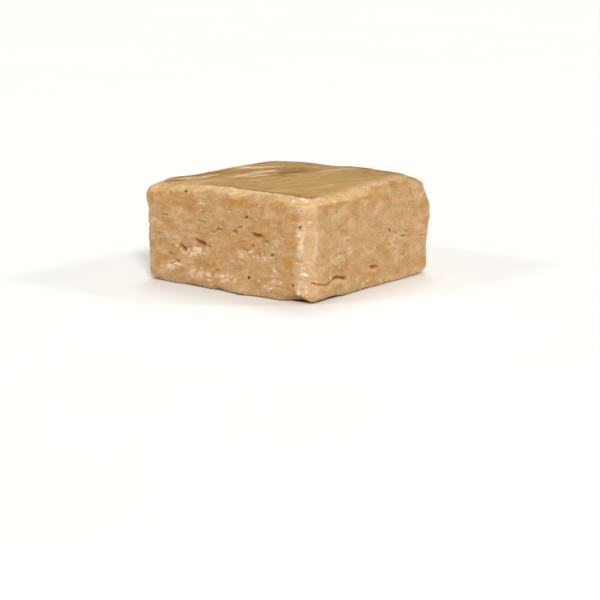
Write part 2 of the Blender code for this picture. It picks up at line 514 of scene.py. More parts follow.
@dataclass(frozen=True)
class Pit:
    """A small hole that an air bubble left, its bottom painted dark with painted shade."""

    side: Side
    centre: Place
    reach: float = 0.25
    depth: float = 0.25
    dark: float = 0.5

    def carve(self, cloud: Cloud, marks: "Marks") -> None:
        """Adds the hole to the marks."""
        along, height, share = cloud.on_side(self.side)
        away = ((along - self.centre[0]) ** 2 + (1.3 * (height - self.centre[1])) ** 2) / self.reach**2
        hole = np.exp(-away) * share
        marks.outwards -= self.depth * hole
        # Painted shade at the bottom of the hole.
        marks.deepen("crevice_shade", self.dark * hole**2)


@dataclass(frozen=True)
class Swell:
    """A soft bulge of the block, or a hollow where its height is below 0."""

    centre: Size
    reach: Size
    height: float

    def carve(self, cloud: Cloud, marks: "Marks") -> None:
        """Adds the bulge to the marks."""
        away = (((cloud.points - self.centre) / self.reach) ** 2).sum(axis=1)
        marks.outwards += self.height * np.exp(-away)


@dataclass(frozen=True)
class Ripple:
    """A low fold of the poured top's skin, or a groove between two. A tone above 0 paints painted sheen on the fold;
    below 0 paints it dark, as painted shade in the groove or a darker tone of the skin.
    """

    path: tuple[Place, ...]
    width: float = 0.55
    height: float = 0.1
    tone: float = 0.7

    def share(self, cloud: Cloud) -> np.ndarray:
        """How much each vertex is on the fold."""
        spots = cloud.points[:, :2] + 0.35 * swells(cloud.points, 2.0, 51)[:, None]
        nearest = np.full(len(spots), 1e3)
        for start, end in zip(self.path, self.path[1:]):
            first, run = np.array(start), np.subtract(end, start)
            part = np.clip((spots - first) @ run / (run @ run), 0, 1)
            away = spots - first - part[:, None] * run
            nearest = np.minimum(nearest, np.hypot(away[:, 0], away[:, 1]))
        first, last = np.array(self.path[0]), np.array(self.path[-1])
        end = np.minimum(np.linalg.norm(spots - first, axis=1), np.linalg.norm(spots - last, axis=1))
        fade = eased(0.3 + 0.7 * end / min(1.6, np.linalg.norm(last - first) / 2))
        return np.exp(-((nearest / self.width) ** 2)) * fade * (cloud.normals[:, 2] > 0.5)

    def carve(self, cloud: Cloud, marks: "Marks") -> None:
        """Adds the fold to the marks."""
        share = self.share(cloud)
        marks.outwards += self.height * share
        # A fold is painted with sheen, a groove with painted shade or a darker skin tone.
        marks.deepen("painted_sheen" if self.tone > 0 else "dark_tone_and_shade", abs(self.tone) * share)


@dataclass
class Marks:
    """What the sculpting adds up: how far each vertex moves, and its shares of each colour."""

    outwards: np.ndarray
    upwards: np.ndarray
    shares: dict[str, np.ndarray] = field(default_factory=dict)

    @classmethod
    def on(cls, cloud: Cloud) -> "Marks":
        """No marks yet."""
        return cls(np.zeros(len(cloud.points)), np.zeros(len(cloud.points)))

    def deepen(self, name: str, share: np.ndarray) -> None:
        """Raises a colour's shares to at least these."""
        self.shares[name] = np.clip(np.maximum(self.shares.get(name, 0), share), 0, 1)


@dataclass
class CutSides:
    """What the knife and the crumb leave on the four cut sides."""

    seed: int = 11
    roughness: dict[Side, float] = field(
        default_factory=lambda: {Side.FRONT: 1.0, Side.RIGHT: 0.6, Side.BACK: 0.95, Side.LEFT: 0.85}
    )

    def tears(self) -> list[Tear]:
        """The cracks: large and small ones on the front and right side, and others like them on the rest."""
        front, right = Side.FRONT, Side.RIGHT
        made = [
            Tear(front, ((-7.9, 9.95), (-7.1, 9.6), (-6.0, 9.5), (-4.6, 9.35)), 0.45, 0.4, 0.15, 1.0, dark=1.0, taper=0.8),
            Tear(front, ((-12.3, 8.5), (-11.6, 8.05), (-10.9, 7.7), (-10.0, 7.35)), 0.45, 0.42, 0.2, 1.1, dark=1.0, taper=0.8),
            Tear(front, ((-4.3, 9.1), (-3.3, 8.9)), 0.35, 0.26, 0.1, dark=0.45),
            Tear(front, ((-2.3, 12.4), (-1.5, 12.95), (-0.3, 12.95)), 0.3, 0.18, dark=0.5),
            Tear(front, ((-3.2, 12.15), (-2.0, 12.1)), 0.3, 0.17, dark=0.5),
            Tear(front, ((2.0, 12.85), (3.4, 12.9)), 0.35, 0.2, dark=0.75),
            Tear(front, ((3.8, 13.8), (5.1, 14.15)), 0.3, 0.2, dark=0.5),
            Tear(front, ((7.1, 13.1), (8.4, 12.8), (9.6, 12.75), (10.2, 12.5)), 0.42, 0.34, 0.1, 1.0, dark=1.0, taper=1.0),
            Tear(front, ((10.7, 11.85), (11.7, 11.8)), 0.35, 0.22, dark=0.7),
            Tear(front, ((11.8, 8.85), (12.5, 9.3), (13.2, 9.5)), 0.4, 0.24, dark=0.75),
            Tear(front, ((6.8, 10.3), (8.2, 10.8)), 0.25, 0.3, dark=0.45),
            Tear(front, ((4.6, 9.8), (6.3, 9.4)), 0.25, 0.26, dark=0.4),
            Tear(front, ((-16.8, 14.4), (-15.0, 14.3)), 0.25, 0.16, dark=0.2),
            Tear(front, ((-7.3, 14.4), (-4.7, 13.8)), 0.22, 0.17, dark=0.12),
            Tear(front, ((-13.9, 9.2), (-12.8, 9.3)), 0.22, 0.2, dark=0.2),
            Tear(front, ((-15.4, 6.3), (-14.1, 5.9)), 0.35, 0.24, dark=0.45),
            Tear(front, ((-13.7, 4.95), (-12.1, 4.85)), 0.3, 0.22, dark=0.45),
            Tear(front, ((14.0, 6.0), (14.8, 6.1)), 0.2, 0.2, dark=0.25),
            Tear(front, ((14.8, 13.4), (16.2, 13.2)), 0.25, 0.18, dark=0.3),
            Tear(right, ((-0.3, 4.65), (1.2, 4.45), (2.9, 4.2)), 0.36, 0.29, 0.1, dark=0.95, taper=1.3),
            Tear(right, ((10.7, 9.6), (12.6, 9.15)), 0.35, 0.17, dark=0.5),
            Tear(right, ((12.1, 10.3), (13.2, 10.0)), 0.35, 0.17, dark=0.5),
            Tear(right, ((7.8, 10.8), (9.3, 10.4)), 0.25, 0.17, dark=0.35),
            Tear(right, ((-8.2, 11.2), (-6.5, 11.1)), 0.2, 0.16, dark=0.25),
            Tear(right, ((-9.4, 8.7), (-8.2, 8.7)), 0.2, 0.16, dark=0.25),
            Tear(right, ((17.4, 8.7), (19.3, 8.6)), 0.25, 0.18, dark=0.25),
        ]
        draw = random.Random(self.seed)
        for side, count in ((Side.BACK, 15), (Side.LEFT, 13)):
            made += [self.drawn_tear(side, draw) for _ in range(count)]
        return made + self.lips()

    def drawn_tear(self, side: Side, draw: random.Random) -> Tear:
        """A crack drawn at random on a side: mostly short and level."""
        start, height = draw.uniform(-17.5, 15.5), draw.uniform(4.0, 16.5)
        length = draw.uniform(1.2, 2.6) + draw.random() ** 3 * 3
        middle = (start + length * draw.uniform(0.3, 0.6), height + draw.uniform(-0.35, 0.35))
        path = ((start, height), middle, (start + length, height + draw.uniform(-0.5, 0.5)))
        size = draw.random() ** 1.6
        gap, ledge = 0.16 + 0.16 * size, 0.2 * size
        return Tear(side, path, 0.2 + 0.5 * size, gap, ledge, 0.7 + 0.5 * size, dark=0.2 + 0.6 * size)

    def lips(self) -> list[Tear]:
        """Creases above the foot, where it rolls out from under the fudge above it."""
        right = ((-19.6, 4.4), (-18.0, 3.9), (-16.9, 3.6), (-15.3, 3.3), (-14.2, 3.7), (-13.0, 4.1))
        pocket = ((-13.1, 4.1), (-12.2, 4.3), (-11.0, 4.2), (-9.6, 3.8), (-8.0, 3.7))
        back = ((-17.0, 2.9), (-12.0, 3.4), (-7.0, 2.8))
        return [
            Tear(Side.RIGHT, right, 0.4, 0.24, -0.3, 1.6, 0.0, 0.5, 0.8),
            Tear(Side.RIGHT, pocket, 0.55, 0.3, -0.25, 1.5, 0.0, 0.85, 0.7),
            Tear(Side.BACK, back, 0.4, 0.22, -0.25, 1.5, 0.0, 0.4, 2.0),
        ]

    def patches(self) -> list[TornPatch]:
        """The places where crumbs came away."""
        front = Side.FRONT
        return [
            TornPatch(front, (-6.6, 8.0), (2.9, 0.85), 0.22, 0.0, 1.0),
            TornPatch(front, (-11.6, 7.35), (2.1, 0.6), 0.0, -0.55, 1.0),
            TornPatch(front, (-9.2, 6.6), (1.7, 0.7), 0.05, 0.0, 1.0),
            TornPatch(front, (-14.0, 4.1), (1.9, 0.9), 0.12, 0.1, 1.0),
            TornPatch(front, (-12.4, 4.4), (1.6, 0.4), 0.0, -0.1, 1.0),
            TornPatch(front, (4.6, 8.3), (1.8, 1.0), 0.1, 0.0, 0.7),
            TornPatch(front, (7.8, 9.0), (2.0, 0.7), 0.05, -0.1, 0.7),
            TornPatch(front, (10.1, 8.4), (1.6, 0.4), -0.05, -0.5, 1.0),
            TornPatch(front, (-18.4, 12.7), (1.8, 0.7), 0.05, -0.1, 0.7),
            TornPatch(front, (12.6, 3.0), (2.8, 1.3), 0.0, 0.2, 0.6),
            TornPatch(front, (-6.6, 2.8), (4.2, 1.5), -0.08, -0.05, 0.65),
            TornPatch(front, (1.2, 2.9), (3.4, 1.4), -0.08, 0.0, 0.8),
            TornPatch(front, (19.6, 3.2), (1.6, 2.0), -0.05, 0.0, 0.25),
            TornPatch(Side.RIGHT, (-11.0, 8.0), (3.4, 1.2), 0.06, 0.1, 0.5),
            TornPatch(Side.RIGHT, (-7.2, 10.0), (1.0, 2.6), 0.04, 0.0, 0.5),
            TornPatch(Side.RIGHT, (8.0, 8.4), (3.0, 1.0), 0.06, 0.1, 0.5),
            TornPatch(Side.BACK, (-9.5, 8.0), (4.6, 1.6), 0.3, -0.08),
            TornPatch(Side.BACK, (8.0, 12.5), (3.0, 0.9), 0.15, 0.1),
            TornPatch(Side.BACK, (14.5, 5.5), (2.4, 0.9), 0.18),
            TornPatch(Side.LEFT, (6.5, 10.4), (4.4, 1.2), 0.25, 0.1),
            TornPatch(Side.LEFT, (-10.0, 6.5), (3.2, 1.0), 0.2, -0.1),
        ]

    def stains(self) -> list[Blot]:
        """Butter-brown blotches, most of them under the rims."""
        front, right = Side.FRONT, Side.RIGHT
        made = [
            Blot(front, (-8.5, 17.5), (1.3, 2.2), 0.7),
            Blot(front, (4.6, 18.8), (3.4, 0.9)),
            Blot(front, (-13.2, 19.0), (1.3, 0.6)),
            Blot(front, (-12.0, 17.0), (1.8, 0.7), 0.6),
            Blot(front, (14.3, 15.5), (0.5, 0.9)),
            Blot(front, (18.6, 17.6), (1.8, 0.9)),
            Blot(front, (-3.2, 18.4), (1.6, 0.5), 0.7),
            Blot(front, (5.3, 11.0), (2.2, 0.9), 0.6),
            Blot(front, (-19.8, 17.3), (1.0, 1.8), 0.6),
            Blot(front, (-18.2, 3.8), (0.7, 0.8)),
            Blot(front, (-8.2, 1.4), (0.6, 0.7)),
            Blot(front, (-1.5, 4.4), (0.7, 0.4), 0.7),
            Blot(front, (16.5, 7.6), (0.9, 0.8), 0.7),
            Blot(front, (17.6, 17.4), (2.4, 1.1), 0.6),
            Blot(front, (20.6, 17.4), (0.8, 0.7), 0.5),
            Blot(right, (-19.0, 17.4), (0.9, 1.0), 0.8),
            Blot(front, (16.9, 11.5), (1.2, 4.0), 0.3),
            Blot(right, (-0.6, 19.1), (1.7, 0.5)),
            Blot(right, (-9.1, 19.1), (1.9, 0.35)),
            Blot(right, (4.9, 18.2), (1.3, 0.7), 0.8),
            Blot(right, (13.9, 18.6), (0.8, 0.7)),
            Blot(right, (-8.4, 15.3), (0.7, 0.5)),
            Blot(right, (-15.1, 18.0), (1.1, 0.6), 0.8),
            Blot(right, (-4.8, 17.6), (1.6, 0.7), 0.6),
        ]
        draw = random.Random(self.seed + 1)
        for side, count in ((Side.BACK, 11), (Side.LEFT, 11), (front, 7), (right, 6)):
            for _ in range(count):
                centre = (draw.uniform(-19, 19), 19.3 - 12 * draw.random() ** 2)
                reach = (draw.uniform(0.5, 2.2), draw.uniform(0.3, 0.7))
                made.append(Blot(side, centre, reach, draw.uniform(0.3, 0.7)))
        return made

    def pits(self) -> list[Pit]:
        """Small bubble holes all round."""
        draw = random.Random(self.seed + 2)
        made = []
        for side, count in ((Side.FRONT, 26), (Side.RIGHT, 16), (Side.BACK, 26), (Side.LEFT, 24)):
            for _ in range(count):
                centre = (draw.uniform(-19, 19), draw.uniform(2, 18.5))
                made.append(Pit(side, centre, draw.uniform(0.14, 0.3), draw.uniform(0.12, 0.3), draw.uniform(0.1, 0.5)))
        return made

    def bulges(self) -> list[Swell]:
        """Where the block stands out or draws in: at its upright corners, its foot and its far rim."""
        return [
            Swell((-21.2, -18.0, 19.9), (3.0, 5.0, 2.5), 0.5),
            Swell((-20.6, -13.0, 20.6), (2.5, 5.0, 1.5), 0.3),
            Swell((-10.0, 19.5, 20.8), (6.0, 3.0, 2.0), 0.35),
            Swell((4.0, 20.0, 20.8), (5.0, 3.0, 2.0), 0.28),
            Swell((21.3, 20.5, 9.0), (3.5, 3.5, 6.0), 0.45),
            Swell((21.4, 20.8, 3.2), (2.5, 2.5, 1.6), 0.2),
            Swell((21.6, 20.8, 15.2), (2.5, 2.5, 1.2), 0.18),
            Swell((21.6, 20.8, 18.6), (2.0, 2.0, 0.6), -0.25),
            Swell((21.4, 20.8, 19.9), (1.6, 1.6, 0.9), 0.35),
            Swell((-21.6, -21.0, 14.0), (3.0, 3.0, 3.0), 0.2),
            Swell((-21.6, -21.0, 11.4), (2.5, 2.5, 0.5), -0.25),
            Swell((4.7, -21.5, 0.9), (1.3, 2.0, 0.8), 0.5),
            Swell((-6.3, -21.2, 2.0), (1.0, 2.0, 0.7), 0.35),
            Swell((-2.4, -21.2, 1.6), (1.6, 2.0, 0.7), 0.2),
            Swell((20.2, -20.6, 2.0), (0.9, 1.2, 0.6), 0.3),
            Swell((21.6, -13.7, 4.6), (1.5, 0.4, 0.7), 0.35),
            Swell((21.8, -15.5, 1.8), (2.0, 4.0, 1.1), 0.25),
            Swell((21.8, -9.0, 2.0), (2.0, 3.5, 1.0), 0.2),
        ]

    def carve(self, cloud: Cloud, marks: Marks) -> None:
        """Adds the bulges, the crumb, the cracks, the torn places, the holes and the stains to the marks."""
        rough = np.full(len(cloud.points), 0.35)
        for side, share in self.roughness.items():
            rough = np.maximum(rough, share * cloud.facing(side.outward(), 0.6, 0.92))
        level = eased((np.hypot(cloud.normals[:, 0], cloud.normals[:, 1]) - 0.2) / 0.45)
        foot = 1 - 0.45 * eased((4.6 - cloud.points[:, 2]) / 1.4)
        crumb = self.crumb(cloud) + self.layers(cloud) + self.creases(cloud)
        marks.outwards += rough * level * foot * crumb
        marks.outwards += level * self.drag(cloud)
        for piece in (*self.bulges(), *self.patches(), *self.tears(), *self.pits(), *self.stains()):
            piece.carve(cloud, marks)

    def crumb(self, cloud: Cloud) -> np.ndarray:
        """The fudge's own lumps and grain."""
        broad = 0.3 * swells(cloud.points, (4.2, 4.2, 2.6), 1)
        middling = 0.2 * swells(cloud.points, (1.7, 1.7, 1.1), 2)
        fine = 0.14 * swells(cloud.points, (0.9, 0.9, 0.65), 4) + 0.06 * swells(cloud.points, 0.5, 5)
        return broad + middling + fine

    def layers(self, cloud: Cloud) -> np.ndarray:
        """Ledges that the knife drags down: each hangs out at its foot and draws back above."""
        phase = cloud.points[:, 2] / 2.4 + 1.2 * swells(cloud.points, (8, 8, 4), 5)
        phase += 0.5 * swells(cloud.points, (2.0, 2.0, 1.3), 6) + 0.15 * swells(cloud.points, 0.8, 7)
        share = eased((swells(cloud.points, (5.5, 5.5, 2.4), 8) + 0.02) / 0.3)
        return 0.15 * share * np.interp(np.mod(phase, 1), (0, 0.16, 1), (-0.5, 0.5, -0.5))

    def creases(self, cloud: Cloud) -> np.ndarray:
        """Shallow winding creases, mostly level."""
        valley = np.clip(1 - np.abs(swells(cloud.points, (3.6, 3.6, 1.2), 9)) / 0.13, 0, 1)
        share = eased((swells(cloud.points, (7, 7, 3), 10) - 0.02) / 0.2)
        return -0.14 * valley**2 * share

    def drag(self, cloud: Cloud) -> np.ndarray:
        """Upright lines that the knife scores, most of them beside the blunt corner."""
        across = cloud.points[:, 0] - cloud.points[:, 1]
        beside = 0.08 + 0.92 * eased((across - 28) / 10)
        return 0.05 * beside * swells(cloud.points, (0.8, 0.8, 8), 19)


@dataclass
class Foot:
    """The block's foot. It sags unevenly, so that its edge hangs a little above the table here and there."""

    hang: float = 0.45
    notch: float = 0.6
    notch_at: Place = (18.8, 1.7)

    def lift(self, cloud: Cloud) -> np.ndarray:
        """How far each vertex is lifted off the table."""
        x, y, z = cloud.points.T
        beyond = np.maximum(np.abs(x) - distance_of(Side.RIGHT), np.abs(y) - distance_of(Side.FRONT))
        near = eased((beyond + 2.2) / 1.8) * (1 - eased(z / 2.4))
        uneven = np.clip(0.1 + 1.7 * swells(cloud.points * (1, 1, 0), 3.4, 61), 0, 1)
        notch = np.exp(-(((x - self.notch_at[0]) / self.notch_at[1]) ** 2)) * (y < 0)
        return near * (self.hang * uneven * (1 - notch) + self.notch * notch)


@dataclass
class BluntCorner:
    """The corner between front and right side, scraped flat by the knife between two beaded ridges. The strip and its
    ridges are painted paler, partly the scraped fudge's tone and partly painted highlight.
    """

    middle: Place = (20.45, -20.0)
    reach: float = 2.3

    def carve(self, cloud: Cloud, marks: Marks) -> None:
        """Adds the scraped corner to the marks."""
        across = (cloud.points[:, :2] - self.middle) @ np.array((1, 1)) / math.sqrt(2)
        away = (cloud.points[:, :2] - self.middle) @ np.array((1, -1)) / math.sqrt(2)
        here = eased((away + 3) / 1.5) * eased((cloud.points[:, 2] - 1.2) / 1.5)
        here *= eased((0.75 - cloud.normals[:, 2]) / 0.25)
        high = cloud.points[:, 2]
        uneven = across + 0.45 * swells(cloud.points, (2.5, 2.5, 2.2), 15) + 0.25 * swells(cloud.points, 0.7, 16)
        scraped = here * eased((self.reach + 0.3 - np.abs(uneven - 0.3)) / 1.3)
        chatter = swells(cloud.points, (2.2, 2.2, 0.55), 17)
        beads = 0.45 + 1.5 * swells(cloud.points, (0.9, 0.9, 0.8), 18) + 0.6 * swells(cloud.points, 0.45, 20)
        broken = eased(0.85 + 1.3 * swells(cloud.points, (5, 5, 2.6), 22)) * (0.3 + 0.7 * eased((17.2 - high) / 2))
        width = 0.65 + 0.25 * eased((10.5 - high) / 3)
        left = np.exp(-(((uneven + 0.95) / width) ** 2)) * here * broken
        right = np.exp(-(((uneven - 2.0) / 0.42) ** 2)) * here * eased((high - 7) / 3) * broken
        low = eased((10.5 - high) / 2.5)
        marks.outwards += scraped * (0.12 * chatter + 0.12 * low * (beads - 0.45))
        marks.outwards += left * (0.12 + 0.22 * beads) + right * (0.1 + 0.1 * beads)
        marks.deepen("golden", 0.05 * scraped * np.clip(1 - left - right, 0, 1) * (1 - low) * (1 - eased((high - 16.5) / 1.5)))
        # The scraped strip and its ridges are painted paler: partly the fudge's own tone, partly painted highlight.
        marks.deepen("rim_tone_and_highlight", scraped * (0.5 + 0.5 * eased((high - 15) / 2)) * np.clip(0.6 + 0.9 * swells(cloud.points, (1.6, 1.6, 3.2), 23), 0, 1))
        marks.deepen("torn_tone_and_highlight", np.clip(left * (1 - 0.4 * low) * (0.8 + 0.5 * beads), 0, 1) + 0.55 * right)
        marks.deepen("torn_tone_and_highlight", 0.25 * scraped)
        marks.deepen("torn_tone_and_highlight", 0.5 * scraped * low * np.clip(beads, 0, 1))
        marks.deepen("smooth", 0.2 * scraped * (1 - left))


@dataclass
class PouredTop:
    """The slab's poured surface: a darker dry skin with folds in it, set in a paler cut rim. Its folds carry painted
    sheen and painted shade, and the rim's paleness is partly a painted highlight.
    """

    inset: dict[Side, float] = field(
        default_factory=lambda: {Side.FRONT: 3.5, Side.RIGHT: 2.2, Side.BACK: 2.0, Side.LEFT: 0.9}
    )

    def ripples(self) -> list[Ripple]:
        """The folds and marks in the skin, most of them near the left side."""
        return [
            Ripple(((-19.4, -13.5), (-18.7, -7.0), (-18.2, -2.4), (-18.0, 3.0)), 0.8, -0.05, -1.0),
            Ripple(((-20.4, -17.0), (-18.2, -15.3), (-14.9, -14.3), (-13.8, -12.5), (-13.7, -10.0)), 0.7, -0.14, -1.0),
            Ripple(((-13.7, -10.0), (-14.0, -6.9), (-14.0, -4.6)), 0.5, -0.12, -1.0),
            Ripple(((-18.1, -12.6), (-17.1, -11.0)), 0.6, 0.12, 0.9),
            Ripple(((-15.4, -11.2), (-14.9, -8.4), (-14.6, -5.4)), 0.45, 0.14, 1.0),
            Ripple(((-17.6, -3.4), (-14.9, -2.7), (-13.8, -0.7), (-11.8, 1.1)), 0.85, -0.12, -1.0),
            Ripple(((-16.3, 2.6), (-13.2, 3.3)), 1.2, 0.0, -0.7),
            Ripple(((-9.9, -6.9), (-9.0, -4.3), (-8.6, -2.0)), 0.8, 0.15, 0.9),
            Ripple(((-8.9, -2.0), (-8.6, 1.0), (-8.0, 3.5), (-7.5, 5.9)), 0.5, 0.18, 1.0),
            Ripple(((-8.3, -9.7), (-7.3, -7.8), (-6.0, -5.9), (-5.2, -3.9), (-4.8, -2.0)), 0.65, -0.14, -0.8),
            Ripple(((-7.6, -3.9), (-7.3, -1.7), (-7.1, 0.8), (-6.9, 3.1), (-6.4, 5.3)), 0.42, -0.14, -0.9),
            Ripple(((-6.6, -4.9), (-6.1, -2.7), (-5.8, -0.2), (-5.4, 1.4), (-5.3, 3.7)), 0.5, 0.16, 0.9),
            Ripple(((-18.4, 6.0), (-16.0, 6.9), (-14.0, 7.0), (-12.7, 7.8), (-11.2, 10.0)), 1.25, 0.14, 0.9),
            Ripple(((-16.3, 4.6), (-14.5, 5.0), (-11.9, 5.6), (-9.8, 6.6), (-8.6, 8.6), (-8.2, 11.0)), 0.65, -0.12, -0.9),
            Ripple(((-19.0, 11.0), (-18.8, 16.5), (-16.5, 19.4), (-12.0, 19.6)), 1.1, 0.0, -0.85),
            Ripple(((-4.5, 1.7), (-4.4, 4.6), (-2.8, 6.9), (-1.8, 9.9)), 2.2, -0.08, -1.0),
            Ripple(((-6.8, 6.4), (-5.4, 9.2), (-3.8, 11.6)), 1.7, -0.05, -0.9),
            Ripple(((-2.3, -0.5), (-1.4, 1.1), (-0.6, 2.8)), 0.7, -0.08, -0.9),
            Ripple(((0.6, 9.6), (1.4, 13.1), (3.0, 15.2), (4.5, 17.0)), 0.8, 0.1, 0.55),
            Ripple(((-3.5, 12.8), (-3.4, 14.8)), 0.5, 0.1, 0.8),
            Ripple(((-2.0, 11.9), (-1.1, 13.6)), 0.5, -0.08, -0.8),
            Ripple(((-9.5, 18.0), (-6.5, 18.8), (-2.5, 18.4)), 1.2, 0.0, -0.6),
            Ripple(((-12.0, 15.0), (4.0, 15.0), (16.0, 12.0)), 6.0, 0.0, -0.25),
            Ripple(((1.6, 18.4), (6.3, 18.4), (10.8, 17.8), (16.0, 16.4)), 1.5, 0.0, -0.7),
            Ripple(((12.0, 9.7), (12.4, 14.3)), 0.6, -0.06, -0.5),
            Ripple(((13.6, -6.6), (14.8, -6.1)), 0.4, 0.03, 0.6),
            Ripple(((13.5, -3.7), (14.1, -3.2)), 0.45, 0.03, 0.7),
            Ripple(((4.8, 5.8), (5.4, 6.3)), 0.5, -0.06, -0.65),
            Ripple(((-3.3, -8.2), (-2.4, -7.5)), 0.45, 0.08, 0.65),
            Ripple(((-2.5, -9.8), (-1.3, -8.8)), 0.4, -0.06, -0.6),
            Ripple(((8.0, -15.2), (12.0, -14.6)), 0.5, 0.08, 0.5),
            Ripple(((-1.0, -14.0), (6.0, -13.4)), 0.8, -0.04, -0.3),
        ]

    def inside(self, cloud: Cloud) -> np.ndarray:
        """How far inside the skin's edge each vertex is, in millimetres. It is negative outside."""
        nearest = np.full(len(cloud.points), 99.0)
        for side, inset in self.inset.items():
            here = distance_of(side) - inset - cloud.points @ side.outward()
            if side is Side.FRONT:
                here += 1.3 * eased((-cloud.points[:, 0] - 1) / 9) - 0.3
            if side is Side.RIGHT:
                here -= 2.6 * eased((cloud.points[:, 1] + 8) / 16)
            blended = np.clip(0.5 + 0.5 * (here - nearest) / 2.0, 0, 1)
            nearest = here * (1 - blended) + nearest * blended - 2.0 * blended * (1 - blended)
        return nearest + 0.6 * swells(cloud.points, 5.0, 31) + 0.25 * swells(cloud.points, 1.7, 32)

    def carve(self, cloud: Cloud, marks: Marks) -> None:
        """Adds the skin, its folds, the rim and the step between them to the marks, with a painted shade line in the
        step and a painted highlight on the ridge in front of it.
        """
        x, y, z = cloud.points.T
        up = cloud.normals[:, 2]
        top = eased((up - 0.6) / 0.3)
        inside = self.inside(cloud)
        left = eased((-8 - x) / 5) * eased((2 - y) / 8)
        right = eased((x - 12) / 5) * eased((y + 16) / 4)
        skin = top * eased(inside / (0.3 + 4.0 * left + 3.0 * right) + 0.5)
        skin *= 1 - 0.75 * eased((-6.5 - x) / 4) * eased((-7.5 - y + 0.4 * (x + 12)) / 5)
        edge = top * eased((-y - 12) / 4) * eased((x + 7) / 4)
        band = np.where(-y > x, 3.3, 3.4) + 2.0 * swells(cloud.points, (3, 3, 1.5), 34)
        # The rim is painted paler where the edge turns up: partly the cut fudge's tone, partly painted highlight.
        rim_tone_and_highlight = eased((up - 0.22) / 0.35) * eased((z - 15) / 3) * eased((inside + band) / 1.1)
        ragged = 0.8 * swells(cloud.points, (1.6, 1.6, 1.0), 33)
        sway = swells(cloud.points, (7, 9, 1e3), 44)
        dents = 0.2 * sway + 0.07 * swells(cloud.points, (1.2, 2.2, 1e3), 45)
        lumps = 0.16 * swells(cloud.points, (2.6, 2.6, 1.5), 46) + 0.06 * swells(cloud.points, 1.0, 47)
        # Painted shade along the groove at the skin's edge, and a painted highlight on the ridge in front of it.
        groove = np.exp(-(((inside - 0.35) / 0.65) ** 2)) * edge
        ridge = np.exp(-(((inside + 0.8) / 0.6) ** 2)) * top * eased((x + 9) / 4) * (1 - right)
        marks.outwards += top * dents * eased(inside / 2) + rim_tone_and_highlight * (1 - skin) * lumps
        marks.outwards += 0.12 * ridge * (1 + ragged) - 0.16 * groove + 0.05 * skin
        for ripple in self.ripples():
            ripple.carve(cloud, marks)
        marks.deepen("rim_tone_and_highlight", np.clip(rim_tone_and_highlight * (0.8 + 0.6 * ragged), 0, 1))
        marks.deepen("torn_tone_and_highlight", 0.4 * ridge * np.clip(1 + 1.5 * ragged, 0, 1))
        marks.deepen("skin", skin)
        marks.deepen("dark_tone_and_shade", 0.75 * groove)
        marks.deepen("smooth", np.maximum(skin, 0.5 * rim_tone_and_highlight))
        for name in ("golden", "torn_tone_and_highlight", "rim_tone_and_highlight"):
            marks.shares[name] *= 1 - skin


